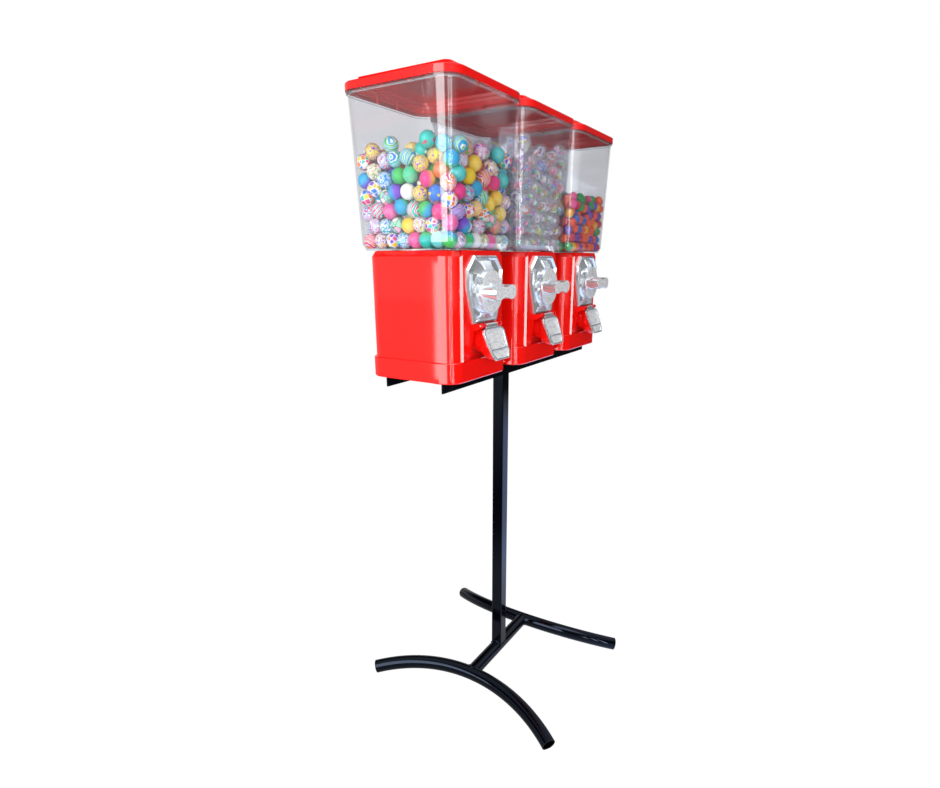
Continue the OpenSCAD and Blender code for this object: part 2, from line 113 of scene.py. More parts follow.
def surface_point(tree, millimetres):
    """Object coordinates counted in steps of so many millimetres."""
    place = add(tree, "TexCoord").outputs["Object"]
    step = 1 / (millimetres * MM)
    return add(tree, "Mapping", {"Scale": (step, step, step)}, {"Vector": place}).outputs["Vector"]


def roughen(tree, surface, height, strength, distance_mm):
    """Lets a height pattern bend the surface's normal."""
    bump = add(tree, "Bump", {"Strength": strength, "Distance": distance_mm * MM},
               {"Height": height})
    tree.links.new(bump.outputs["Normal"], surface.inputs["Normal"])


def colour_by_pattern(tree, surface, pattern, stops):
    """Lets a pattern colour the surface between the stops' colours; on most finishes this is their
    own mottle, and on the pebbled chrome it is painted highlight and shade.
    """
    shade = add(tree, "ValToRGB", links={"Fac": pattern}, stops=stops)
    tree.links.new(shade.outputs["Color"], surface.inputs["Base Color"])


def bare_material(name):
    """A material whose nodes are all still to be added, and its node tree."""
    made = bpy.data.materials.new(name)
    made.use_nodes = True
    made.node_tree.nodes.clear()
    return made, made.node_tree


# ---------------------------------------------------------------- painted and plated finishes

def gloss_red_enamel():
    """Sprayed and baked enamel on pressed sheet steel: a deep wet gloss with faint orange peel."""
    made, tree, surface = new_material("gloss_red_enamel", "#EA110A", Roughness=0.05, IOR=1.6)
    peel = add(tree, "TexNoise", {"Scale": 1.0, "Detail": 2.0},
               {"Vector": surface_point(tree, 6)})
    roughen(tree, surface, peel.outputs["Fac"], 0.03, 0.25)
    tone = add(tree, "TexNoise", {"Scale": 1.0, "Detail": 3.0},
               {"Vector": surface_point(tree, 90)})
    colour_by_pattern(tree, surface, tone.outputs["Fac"], [(0.3, "#E6100B"), (0.7, "#EC130D")])
    return made


def moulded_red_abs():
    """Injection-moulded ABS: a softer gloss than the enamel's, over a faint mould grain."""
    made, tree, surface = new_material("moulded_red_abs", "#E8100D", Roughness=0.11, IOR=1.6)
    grain = add(tree, "TexNoise", {"Scale": 1.0, "Detail": 4.0},
                {"Vector": surface_point(tree, 2.5)})
    roughen(tree, surface, grain.outputs["Fac"], 0.04, 0.2)
    colour_by_pattern(tree, surface, grain.outputs["Fac"], [(0.35, "#E20E0C"), (0.75, "#EA1310")])
    return made


def black_stand_enamel():
    """Stoved gloss black over welded steel tube: very dark, with a faintly rippled shine."""
    made, tree, surface = new_material("black_stand_enamel", "#020306", Roughness=0.1, IOR=1.45,
                                       Specular_Tint="#B9CCF2")
    ripple = add(tree, "TexNoise", {"Scale": 1.0, "Detail": 3.0},
                 {"Vector": surface_point(tree, 9)})
    roughen(tree, surface, ripple.outputs["Fac"], 0.05, 0.3)
    scuff = add(tree, "TexNoise", {"Scale": 1.0, "Detail": 6.0, "Roughness": 0.7},
                {"Vector": surface_point(tree, 40)})
    dull = add(tree, "MapRange", {"From Min": 0.35, "From Max": 0.75, "To Min": 0.05,
                                  "To Max": 0.15}, {"Value": scuff.outputs["Fac"]})
    tree.links.new(dull.outputs["Result"], surface.inputs["Roughness"])
    return made


def chrome_plate():
    """Chromium over die-cast zinc: a hard mirror, slightly wavy, with a milky polishing haze."""
    made, tree, surface = new_material("chrome_plate", "#ECF1F6", Metallic=0.76, Roughness=0.06)
    wave = add(tree, "TexNoise", {"Scale": 1.0, "Detail": 1.0},
               {"Vector": surface_point(tree, 8)})
    roughen(tree, surface, wave.outputs["Fac"], 0.12, 0.35)
    return made


def pebbled_chrome():
    """Chrome over a cast pebble grain, which scatters light in sparkles; the sparkles and the shade
    between them are also painted into its colour.

    The grain is drawn 2.4 mm wide, which is coarser than it is, so that it shows."""
    made, tree, surface = new_material("pebbled_chrome", "#F2F4F6", Metallic=0.22, Roughness=0.3,
                                       IOR=2.0)
    pebble = add(tree, "TexVoronoi", {"Scale": 1.0, "Randomness": 1.0},
                 {"Vector": surface_point(tree, 2.4)}, feature="SMOOTH_F1")
    roughen(tree, surface, pebble.outputs["Distance"], 1.0, 0.9)
    # painted highlight and shade: each pebble is painted white in its middle and grey towards its
    # edges
    colour_by_pattern(tree, surface, pebble.outputs["Distance"], [(0.3, "#FFFFFF"), (0.75, "#B2B9C4")])
    return made


def zinc_casting():
    """Plain die-cast zinc of the coin mechanism's case: dull grey with a sandy skin."""
    made, tree, surface = new_material("zinc_casting", "#8E9196", Metallic=1.0, Roughness=0.48)
    sand = add(tree, "TexNoise", {"Scale": 1.0, "Detail": 5.0},
               {"Vector": surface_point(tree, 1.5)})
    roughen(tree, surface, sand.outputs["Fac"], 0.3, 0.2)
    colour_by_pattern(tree, surface, sand.outputs["Fac"], [(0.3, "#7F8288"), (0.7, "#9CA0A5")])
    return made


def zinc_plated_steel():
    """Bright zinc plate on steel: a half-dull grey with a fine crystal speckle."""
    made, tree, surface = new_material("zinc_plated_steel", "#B4B7BB", Metallic=1.0, Roughness=0.3)
    speckle = add(tree, "TexNoise", {"Scale": 1.0, "Detail": 4.0},
                  {"Vector": surface_point(tree, 0.8)})
    roughen(tree, surface, speckle.outputs["Fac"], 0.2, 0.1)
    colour_by_pattern(tree, surface, speckle.outputs["Fac"], [(0.3, "#A6AAAF"), (0.7, "#C2C5C8")])
    return made


def acetal(name, dark, light):
    """Moulded acetal of the wheel and its gear: waxy, with a soft sheen."""
    made, tree, surface = new_material(name, light, Roughness=0.38, IOR=1.48)
    bloom = add(tree, "TexNoise", {"Scale": 1.0, "Detail": 4.0},
                {"Vector": surface_point(tree, 5)})
    roughen(tree, surface, bloom.outputs["Fac"], 0.06, 0.2)
    colour_by_pattern(tree, surface, bloom.outputs["Fac"], [(0.3, dark), (0.7, light)])
    return made


# share of the painted highlight on the rim band of a clear wall
RIM_HIGHLIGHT_SHARE = 0.2


def see_through(name, tint, index, haze, roughness, rim=None):
    """Clear plastic that passes light straight on and mirrors by its Fresnel share.

    Seen from behind, a face mirrors as much as from in front: the index is turned over there.
    Light on its way to what lies inside is neither mirrored nor scattered.
    tint colours what shows through one face, and haze is the share that scatters on it.
    rim gives two heights between which a moulded edge is painted pale: a painted highlight for the
    light such an edge gathers."""
    made, tree = bare_material(name)
    inside = add(tree, "NewGeometry").outputs["Backfacing"]
    power = add(tree, "Math", {1: -2.0, 2: 1.0}, {0: inside}, operation="MULTIPLY_ADD")
    bend = add(tree, "Math", {0: index}, {1: power.outputs[0]}, operation="POWER")
    mirrored = add(tree, "Fresnel", links={"IOR": bend.outputs[0]})
    unlit = add(tree, "Math", {0: 1.0}, {1: add(tree, "LightPath").outputs["Is Shadow Ray"]},
                operation="SUBTRACT")
    share = add(tree, "Math", links={0: mirrored.outputs["Fac"], 1: unlit.outputs[0]},
                operation="MULTIPLY")
    veil = add(tree, "Math", {1: haze}, {0: unlit.outputs[0]}, operation="MULTIPLY")
    clear = add(tree, "BsdfTransparent", {"Color": tint})
    mist = add(tree, "BsdfDiffuse", {"Color": "#F4F5FA"})
    shine = add(tree, "BsdfGlossy", {"Color": "#FFFFFF", "Roughness": roughness})
    body = add(tree, "MixShader", links={"Fac": veil.outputs[0], 1: clear.outputs[0],
                                         2: mist.outputs[0]})
    if rim:
        # painted highlight: the rim band is mixed towards a pale colour, standing in for the light
        # the edge gathers
        place = add(tree, "SeparateXYZ", links={0: add(tree, "TexCoord").outputs["Object"]})
        over = add(tree, "Math", {1: rim[0]}, {0: place.outputs["Z"]}, operation="GREATER_THAN")
        under = add(tree, "Math", {1: rim[1]}, {0: place.outputs["Z"]}, operation="LESS_THAN")
        edge = add(tree, "Math", links={0: over.outputs[0], 1: under.outputs[0]},
                   operation="MULTIPLY")
        part = add(tree, "Math", {1: RIM_HIGHLIGHT_SHARE}, {0: edge.outputs[0]}, operation="MULTIPLY")
        pale = add(tree, "BsdfDiffuse", {"Color": "#B9D6DA"})
        body = add(tree, "MixShader", links={"Fac": part.outputs[0], 1: body.outputs[0],
                                             2: pale.outputs[0]})
    whole = add(tree, "MixShader", links={"Fac": share.outputs[0], 1: body.outputs[0],
                                          2: shine.outputs[0]})
    add(tree, "OutputMaterial", links={"Surface": whole.outputs[0]})
    made.diffuse_color = linear(tint)[:3] + [0.3]
    return made


# ---------------------------------------------------------------- finishes of the contents

PATTERN_REACH = 57.0                # ball radii over which the balls' patterns are spread
PICK_TURNS = 7.0                    # how often the colours are gone through as the number grows


def ball_point(tree, scale):
    """The point on a ball as it was before the ball rolled to rest, moved on for each ball."""
    own = add(tree, "Attribute", attribute_name="ball_point").outputs["Vector"]
    pick = add(tree, "Attribute", attribute_name="ball_pick").outputs["Fac"]
    shift = add(tree, "Math", {1: PATTERN_REACH}, {0: pick}, operation="MULTIPLY")
    offset = add(tree, "CombineXYZ", links={"X": shift.outputs[0], "Y": shift.outputs[0]})
    moved = add(tree, "VectorMath", links={0: own, 1: offset.outputs[0]}, operation="ADD")
    return add(tree, "Mapping", {"Scale": (scale,) * 3}, {"Vector": moved.outputs[0]}).outputs[0]


def pick_colour(tree, colours, turn=0.0):
    """One of the colours for each ball, by the ball's own random number.

    turn, from 0 to 1, moves the choice on, so that two colours of a ball can differ."""
    pick = add(tree, "Attribute", attribute_name="ball_pick").outputs["Fac"]
    other = add(tree, "Math", {1: PICK_TURNS}, {0: pick}, operation="MULTIPLY")
    moved = add(tree, "Math", {1: turn}, {0: other.outputs[0]}, operation="ADD")
    part = add(tree, "Math", links={0: moved.outputs[0]}, operation="FRACT")
    ramp = add(tree, "ValToRGB", links={"Fac": part.outputs[0]},
               stops=[(i / len(colours), c) for i, c in enumerate(colours)])
    ramp.color_ramp.interpolation = "CONSTANT"
    return ramp.outputs["Color"]


BRIGHTS = ["#0CC4B4", "#F47A14", "#F9CF00", "#EE2C86", "#1F7AE0", "#3EC25A", "#7A3CC8", "#12A8D8"]
PALES = ["#FAF8F4", "#FAE650", "#FAF8F2", "#FAF8F4", "#F8A0C6", "#FAF7F0", "#8CE4DC"]


def swirled_rubber():
    """Cast rubber with ribbons of colour stirred into a white ball."""
    made, tree, surface = new_material("swirled_rubber", "#E8E4DC", Roughness=0.32, IOR=1.45)
    ribbon = add(tree, "TexNoise", {"Scale": 1.0, "Detail": 0.0, "Distortion": 1.6},
                 {"Vector": ball_point(tree, 0.85)})
    band = add(tree, "Math", {1: 7.0}, {0: ribbon.outputs["Fac"]}, operation="MULTIPLY")
    part = add(tree, "Math", links={0: band.outputs[0]}, operation="FRACT")
    first = add(tree, "Math", {1: 0.27}, {0: part.outputs[0]}, operation="LESS_THAN")
    second = add(tree, "Math", {1: 0.7}, {0: part.outputs[0]}, operation="GREATER_THAN")
    mixed = add(tree, "Mix", links={"Factor": first.outputs[0], 6: pick_colour(tree, PALES),
                                    7: pick_colour(tree, BRIGHTS, 0.1)}, data_type="RGBA")
    mixed = add(tree, "Mix", links={"Factor": second.outputs[0], 6: mixed.outputs[2],
                                    7: pick_colour(tree, BRIGHTS, 0.55)}, data_type="RGBA")
    tree.links.new(mixed.outputs[2], surface.inputs["Base Color"])
    return made


def two_tone_rubber():
    """Frosted rubber cast in two halves whose colours run into each other."""
    made, tree, surface = new_material("two_tone_rubber", "#3FB7A0", Roughness=0.42, IOR=1.5)
    height = add(tree, "SeparateXYZ",
                 links={0: add(tree, "Attribute", attribute_name="ball_point").outputs["Vector"]})
    blend = add(tree, "MapRange", {"From Min": -0.45, "From Max": 0.45},
                {"Value": height.outputs["Z"]}, interpolation_type="SMOOTHSTEP")
    mixed = add(tree, "Mix", links={"Factor": blend.outputs[0], 6: pick_colour(tree, BRIGHTS),
                                    7: pick_colour(tree, BRIGHTS[::-1], 0.3)}, data_type="RGBA")
    tree.links.new(mixed.outputs[2], surface.inputs["Base Color"])
    return made


def mosaic_rubber():
    """White rubber printed with rows of coloured tiles."""
    made, tree, surface = new_material("mosaic_rubber", "#F2F0EA", Roughness=0.3, IOR=1.52)
    cell = add(tree, "TexVoronoi", {"Scale": 1.0, "Randomness": 0.35},
               {"Vector": ball_point(tree, 1.8)})
    edge = add(tree, "TexVoronoi", {"Scale": 1.0, "Randomness": 0.35},
               {"Vector": ball_point(tree, 1.8)}, feature="DISTANCE_TO_EDGE")
    part = add(tree, "SeparateColor", links={"Color": cell.outputs["Color"]})
    colours = BRIGHTS[:5] + BRIGHTS[6:7] + PALES[:1]
    tile = add(tree, "ValToRGB", links={"Fac": part.outputs["Red"]},
               stops=[(i / len(colours), c) for i, c in enumerate(colours)])
    tile.color_ramp.interpolation = "CONSTANT"
    grout = add(tree, "Math", {1: 0.07}, {0: edge.outputs["Distance"]}, operation="GREATER_THAN")
    mixed = add(tree, "Mix", {6: "#F4F2EC"}, {"Factor": grout.outputs[0],
                                              7: tile.outputs["Color"]}, data_type="RGBA")
    tree.links.new(mixed.outputs[2], surface.inputs["Base Color"])
    return made


def crackled_rubber():
    """Pastel shapes with dark outlines, like a cracked glaze."""
    made, tree, surface = new_material("crackled_rubber", "#BFD8C2", Roughness=0.35, IOR=1.52)
    cell = add(tree, "TexVoronoi", {"Scale": 1.0}, {"Vector": ball_point(tree, 1.45)})
    edge = add(tree, "TexVoronoi", {"Scale": 1.0}, {"Vector": ball_point(tree, 1.45)},
               feature="DISTANCE_TO_EDGE")
    part = add(tree, "SeparateColor", links={"Color": cell.outputs["Color"]})
    patch = add(tree, "ValToRGB", links={"Fac": part.outputs["Red"]},
                stops=[(0, "#9FE3C0"), (0.25, "#F8B4CC"), (0.45, "#FBF4DC"), (0.62, "#92D2BE"),
                       (0.8, "#BDB4E0")])
    patch.color_ramp.interpolation = "CONSTANT"
    line = add(tree, "Math", {1: 0.035}, {0: edge.outputs["Distance"]}, operation="GREATER_THAN")
    mixed = add(tree, "Mix", {6: "#3B4648"}, {"Factor": line.outputs[0],
                                              7: patch.outputs["Color"]}, data_type="RGBA")
    tree.links.new(mixed.outputs[2], surface.inputs["Base Color"])
    return made


def striped_rubber():
    """Bent stripes of two colours with white between them."""
    made, tree, surface = new_material("striped_rubber", "#F0EDE6", Roughness=0.3, IOR=1.52)
    wave = add(tree, "TexWave", {"Scale": 0.36, "Distortion": 4.5, "Detail": 1.0,
                                 "Detail Scale": 1.4}, {"Vector": ball_point(tree, 2.0)})
    wide = add(tree, "Math", {1: 0.62}, {0: wave.outputs["Fac"]}, operation="GREATER_THAN")
    thin = add(tree, "Math", {1: 0.16}, {0: wave.outputs["Fac"]}, operation="LESS_THAN")
    mixed = add(tree, "Mix", {6: "#F6F2EA"}, {"Factor": wide.outputs[0],
                                              7: pick_colour(tree, BRIGHTS, 0.2)},
                data_type="RGBA")
    mixed = add(tree, "Mix", links={"Factor": thin.outputs[0], 6: mixed.outputs[2],
                                    7: pick_colour(tree, BRIGHTS[::-1], 0.6)}, data_type="RGBA")
    tree.links.new(mixed.outputs[2], surface.inputs["Base Color"])
    return made


def spotted_rubber():
    """One colour with a few scattered dark or pale spots."""
    made, tree, surface = new_material("spotted_rubber", "#F0A62A", Roughness=0.33, IOR=1.52)
    spot = add(tree, "TexVoronoi", {"Scale": 1.0, "Randomness": 0.8},
               {"Vector": ball_point(tree, 1.4)})
    inside = add(tree, "Math", {1: 0.3}, {0: spot.outputs["Distance"]}, operation="LESS_THAN")
    mixed = add(tree, "Mix", links={"Factor": inside.outputs[0],
                                    6: pick_colour(tree, BRIGHTS, 0.4),
                                    7: pick_colour(tree, ["#26262B", "#F5F1E6", "#E33A55",
                                                          "#F3D23B"], 0.8)}, data_type="RGBA")
    tree.links.new(mixed.outputs[2], surface.inputs["Base Color"])
    return made


def plain_rubber():
    """Balls of one colour, pearly white among them."""
    made, tree, surface = new_material("plain_rubber", "#18BFAE", Roughness=0.3, IOR=1.52)
    cloud = add(tree, "TexNoise", {"Scale": 1.0, "Detail": 2.0},
                {"Vector": ball_point(tree, 1.2)})
    haze = add(tree, "MapRange", {"From Min": 0.4, "From Max": 0.8, "To Max": 0.25},
               {"Value": cloud.outputs["Fac"]})
    colours = ["#14CDBC", "#FAF7F2", "#F0702A", "#3CCB8E", "#EE4A9C", "#FBD020", "#18C4C0"]
    mixed = add(tree, "Mix", {7: "#F7F4EE"}, {"Factor": haze.outputs[0],
                                              6: pick_colour(tree, colours, 0.35)},
                data_type="RGBA")
    tree.links.new(mixed.outputs[2], surface.inputs["Base Color"])
    return made


def sugar_shell():
    """Panned sugar shell with a waxed gloss; the colour lies a little unevenly."""
    made, tree, surface = new_material("sugar_shell", "#F0642A", Roughness=0.2, IOR=1.5,
                                       Coat_Weight=0.5, Coat_Roughness=0.08)
    colours = ["#FB5A1E", "#1F6ED0", "#FB5A1E", "#10A854", "#FAB010", "#F04A94", "#FC6A22",
               "#D01C4C", "#6C40B8", "#F64E30"]
    uneven = add(tree, "TexNoise", {"Scale": 1.0, "Detail": 3.0},
                 {"Vector": ball_point(tree, 2.0)})
    haze = add(tree, "MapRange", {"From Min": 0.45, "From Max": 0.8, "To Max": 0.12},
               {"Value": uneven.outputs["Fac"]})
    mixed = add(tree, "Mix", {7: "#F6D9C2"}, {"Factor": haze.outputs[0],
                                              6: pick_colour(tree, colours, 0.15)},
                data_type="RGBA")
    tree.links.new(mixed.outputs[2], surface.inputs["Base Color"])
    roughen(tree, surface, uneven.outputs["Fac"], 0.05, 0.3)
    return made


def trinket_plastic():
    """Small bright mouldings and bands folded into the capsules."""
    made, tree, surface = new_material("trinket_plastic", "#E85BA0", Roughness=0.3, IOR=1.5)
    colours = ["#FA3C9A", "#F8F6F4", "#52D032", "#F8F6F6", "#3A6AE0", "#F8F8FC", "#FA6432",
               "#E2F032", "#F6F4FA", "#9450E0", "#FFB4D4", "#2CCCC0"]
    tint = add(tree, "TexNoise", {"Scale": 1.0, "Detail": 2.0},
               {"Vector": ball_point(tree, 3.0)})
    haze = add(tree, "MapRange", {"From Min": 0.45, "From Max": 0.75, "To Max": 0.5},
               {"Value": tint.outputs["Fac"]})
    mixed = add(tree, "Mix", {7: "#F8F6F8"}, {"Factor": haze.outputs[0],
                                              6: pick_colour(tree, colours)}, data_type="RGBA")
    tree.links.new(mixed.outputs[2], surface.inputs["Base Color"])
    return made


RED = gloss_red_enamel()
LID_RED = moulded_red_abs()
BLACK = black_stand_enamel()
CHROME = chrome_plate()
PEBBLE = pebbled_chrome()
ZINC = zinc_casting()
STEEL = zinc_plated_steel()
WHITE_ACETAL = acetal("white_acetal", "#E3E1DB", "#F1EFEA")
CREAM_ACETAL = acetal("cream_acetal", "#D8C79A", "#E6D7AE")
# the hopper walls carry a painted highlight along their rim band
CLEAR_WALL = see_through("clear_polycarbonate", "#F5F6F8", index=1.59, haze=0.008, roughness=0.03,
                         rim=(HOPPER_RIM + 1.6 * MM, HOPPER_RIM + 3.4 * MM))
CLEAR_SHELL = see_through("clear_capsule_shell", "#FDFDFE", index=1.49, haze=0.13, roughness=0.05)
RUBBERS = [swirled_rubber(), two_tone_rubber(), mosaic_rubber(), crackled_rubber(),
           striped_rubber(), spotted_rubber(), plain_rubber()]
RUBBER_SHARES = [0.38, 0.15, 0.12, 0.08, 0.09, 0.07, 0.11]
SUGAR = sugar_shell()
TRINKET = trinket_plastic()


# ---------------------------------------------------------------- mesh helpers

def finished(name, bm, is_smooth=True):
    """Ends the shaping of a mesh and returns it; if not is_smooth, faces keep their shading."""
    if is_smooth:
        for face in bm.faces:
            face.smooth = True
    mesh = bpy.data.meshes.new(name)
    bm.to_mesh(mesh)
    bm.free()
    return mesh


def piece(name, mesh, materials, body=FIXED, instead_of=()):
    """Makes an object of a finished mesh, on its CAD body, in place of the nodes named."""
    for made in materials:
        mesh.materials.append(made)
    obj = bpy.data.objects.new(name, mesh)
    bpy.context.scene.collection.objects.link(obj)
    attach(obj, body)
    if instead_of:
        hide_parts(*instead_of)
    return obj


def body_of_node(node):
    """The name of the body that carries a CAD node."""
    return next(b for b, nodes in frame["record"]["behaviour"]["bodies"].items() if node in nodes)


MERGE_GAP = 0.004 * MM              # corners of loose triangles closer than this are one
FLAT_ANGLE = math.radians(0.4)      # faces that meet at less are one flat face
SHARP_ANGLE = math.radians(30)      # edges that turn by more are eased


def eased_copy(node, edge_mm, materials, is_second=None):
    """Stands for a CAD node with its sharp edges eased, so that they catch the light.

    is_second tells for a face whether it takes the second of the materials."""
    bm = bmesh.new()
    bm.from_mesh(frame["nodes"][node].data)
    bmesh.ops.remove_doubles(bm, verts=bm.verts[:], dist=MERGE_GAP)
    bmesh.ops.dissolve_limit(bm, angle_limit=FLAT_ANGLE, verts=bm.verts[:],
                             edges=bm.edges[:], delimit=set())
    sharp = [e for e in bm.edges if e.is_manifold and e.calc_face_angle() > SHARP_ANGLE]
    bmesh.ops.bevel(bm, geom=sharp, offset=edge_mm * MM, offset_type="OFFSET", segments=2,
                    profile=0.5, affect="EDGES", clamp_overlap=True, material=-1)
    for face in bm.faces:
        if is_second and is_second(face):
            face.material_index = 1
    name = f"{node}_eased"
    made = piece(name, finished(name, bm), materials, body_of_node(node), [node])
    made.modifiers.new("even_normals", "WEIGHTED_NORMAL").keep_sharp = True


# ---------------------------------------------------------------- finishes on the CAD nodes

# by the start of the nodes' names; the fills, plates, knobs and flaps are replaced further on
NODE_FINISH = {
    "foot": BLACK, "crossbar": BLACK, "post": BLACK, "head_plate": BLACK, "rail": BLACK,
    "rail_bolts": STEEL, "base_pan": RED, "cabinet": RED, "hopper": CLEAR_WALL, "lid": LID_RED,
    "coin_plate": CHROME, "mech_case": ZINC, "knob": CHROME, "drive_gear": CREAM_ACETAL,
    "wheel_seat": WHITE_ACETAL, "wheel_axle": STEEL, "product_wheel": WHITE_ACETAL, "chute": RED,
    "flap": CHROME, "hinge_pin": STEEL, "bouncy_balls": RUBBERS[-1],
    "toy_capsules": CLEAR_SHELL, "gumballs": SUGAR}

for node_name, node in frame["nodes"].items():
    stem = max((s for s in NODE_FINISH if node_name.startswith(s)), key=len)
    node.data.materials.clear()
    node.data.materials.append(NODE_FINISH[stem])


# ---------------------------------------------------------------- contents of the hoppers

def keep_inside(p, radius):
    """Pushes ball centres in from the hopper's walls, corners and floor."""
    half = np.interp(p[:, 2], [HOPPER_FLOOR, HOPPER_BEVEL, HOPPER_RIM], HOPPER_HALVES)
    room = half - radius
    p[:, 0] = np.clip(p[:, 0], -room, room)
    p[:, 1] = np.clip(p[:, 1], -room, room)
    past = np.maximum(np.abs(p[:, :2]) - CORNER, 0)
    reach = np.linalg.norm(past, axis=1)
    allowed = room - CORNER
    tight = (past.min(axis=1) > 0) & (reach > allowed) & (allowed > 0)
    scale = np.where(tight, allowed / np.maximum(reach, 1e-9), 1.0)
    p[:, :2] = np.where(tight[:, None], np.sign(p[:, :2]) * (CORNER + past * scale[:, None]),
                        p[:, :2])
    # a ball sinks to the wheel once most of it is over the wheel
    over_wheel = np.hypot(p[:, 0], p[:, 1]) < WHEEL_RADIUS - radius * 0.6
    ground = np.where(over_wheel, WHEEL_TOP, HOPPER_FLOOR) + radius
    p[:, 2] = np.maximum(p[:, 2], ground)


SETTLE_ROUNDS = 260
SINKING_SHARE = 0.8                 # of the rounds; in the last ones the balls only spread
FIRST_SINK = 0.9 * MM               # how far they sink in the first round
PUSH_SHARE = 0.36                   # of an overlap, taken back by each ball in one round


def settle(radius, layers, across, looseness, seed):
    """Drops layers of balls into the hopper and lets them sink and push each other apart.

    looseness is the share of their radius by which they start out of line. More of it also
    starts the layers further apart."""
    random = np.random.default_rng(seed)
    step = 2 * radius * 1.03        # the balls start just clear of each other
    grid = (np.arange(across) - (across - 1) / 2) * step
    height = HOPPER_FLOOR + radius + np.arange(layers) * step * (0.85 + 0.25 * looseness)
    p = np.array([(x, y, z) for z in height for x in grid for y in grid])
    p += random.normal(0, looseness * radius, p.shape)
    itself = np.eye(len(p), dtype=bool)
    for turn in range(SETTLE_ROUNDS):
        p[:, 2] -= FIRST_SINK * max(0.0, 1 - turn / (SINKING_SHARE * SETTLE_ROUNDS))
        apart = p[:, None, :] - p[None, :, :]
        gap = np.sqrt((apart ** 2).sum(axis=2))
        gap[itself] = 1.0
        push = np.maximum(2 * radius - gap, 0) / gap * PUSH_SHARE
        p += (apart * push[:, :, None]).sum(axis=1)
        keep_inside(p, radius)
    return p


def ball_template(radius):
    """A ball of 96 faces, all about the same size: a cut cube blown up."""
    bm = bmesh.new()
    bmesh.ops.create_cube(bm, size=2)
    bmesh.ops.subdivide_edges(bm, edges=bm.edges[:], cuts=3, use_grid_fill=True)
    for vert in bm.verts:
        spread = Vector([math.tan(c * math.pi / 4) for c in vert.co])
        vert.co = spread.normalized() * radius
    return finished("ball_template", bm)


def rolled(random):
    """A random turn that favours no direction."""
    return Quaternion(random.normal(size=4)).normalized().to_matrix().to_4x4()


def add_shape(bm, mesh, place, pick, kind=0):
    """Adds one copy of a small mesh to a fill.

    It keeps each point as it was before the copy was placed, counted in its own radius, and the
    random number pick, for the materials; kind is the place of its finish in the fill's list."""
    points = bm.verts.layers.float_vector.get("ball_point") or \
        bm.verts.layers.float_vector.new("ball_point")
    picks = bm.verts.layers.float.get("ball_pick") or bm.verts.layers.float.new("ball_pick")
    verts, faces = len(bm.verts), len(bm.faces)
    bm.from_mesh(mesh)
    bm.verts.ensure_lookup_table()
    bm.faces.ensure_lookup_table()
    size = max(v.co.length for v in bm.verts[verts:])
    for vert in bm.verts[verts:]:
        vert[points] = vert.co / size
        vert[picks] = pick
        vert.co = place @ vert.co
    for face in bm.faces[faces:]:
        face.material_index = kind


def fill_hopper(name, head, balls, radius, node, materials, shares, seed):
    """One mesh of settled balls, each with a finish picked by the shares of its kind."""
    random = np.random.default_rng(seed)
    template = ball_template(radius)
    bm = bmesh.new()
    kinds = random.choice(len(shares), size=len(balls), p=np.array(shares) / sum(shares))
    for spot, kind in zip(balls, kinds):
        place = Matrix.Translation((HEAD_X[head] + spot[0], spot[1], spot[2])) @ rolled(random)
        add_shape(bm, template, place, random.random(), int(kind))
    piece(name, finished(name, bm), materials, instead_of=[node])


def hoop(bm, radius, wire, sides, steps):
    """A closed hoop about Z, of wire with so many sides."""
    profile = bmesh.ops.create_circle(bm, segments=sides, radius=wire)["verts"]
    bmesh.ops.rotate(bm, verts=profile, matrix=Matrix.Rotation(math.pi / 2, 3, "X"))
    bmesh.ops.translate(bm, verts=profile, vec=(radius, 0, 0))
    bmesh.ops.spin(bm, geom=bm.edges[:], axis=(0, 0, 1), cent=(0, 0, 0), steps=steps,
                   angle=math.tau, use_merge=True)
    bmesh.ops.recalc_face_normals(bm, faces=bm.faces[:])


def toy_ring():
    """A moulded ring, 17 mm across."""
    bm = bmesh.new()
    hoop(bm, 7 * MM, 1.6 * MM, 5, 12)
    return finished("toy_ring", bm)


def toy_bead():
    """A lumpy bead, 14 mm long."""
    bm = bmesh.new()
    bmesh.ops.create_icosphere(bm, subdivisions=1, radius=5.5 * MM)
    bmesh.ops.scale(bm, vec=(1.25, 0.9, 0.7), verts=bm.verts[:])
    bmesh.ops.recalc_face_normals(bm, faces=bm.faces[:])
    return finished("toy_bead", bm)


def toy_band():
    """A thin strip curled into most of a screw's turn, 12 mm across."""
    half_length = 8 * MM
    half_turn = 2.6                 # radians
    bm = bmesh.new()
    bmesh.ops.create_grid(bm, x_segments=9, y_segments=1, size=half_length)
    for vert in bm.verts:
        turn = vert.co.x / half_length * half_turn
        vert.co = Vector((math.cos(turn) * 6 * MM, math.sin(turn) * 6 * MM,
                          vert.co.y * 0.35 + turn * 1.3 * MM))
    bmesh.ops.recalc_face_normals(bm, faces=bm.faces[:])
    return finished("toy_band", bm)


def seam_band():
    """The raised lip where a capsule's two halves snap together."""
    bm = bmesh.new()
    hoop(bm, CAPSULE_D / 2, 0.7 * MM, 4, 18)
    return finished("seam_band", bm, is_smooth=False)


TOYS_EACH = 4
TOY_SPREAD = 2.2 * MM               # how far a capsule's toys tend to lie from its middle
TOY_REACH = 4 * MM                  # and at most, along each axis


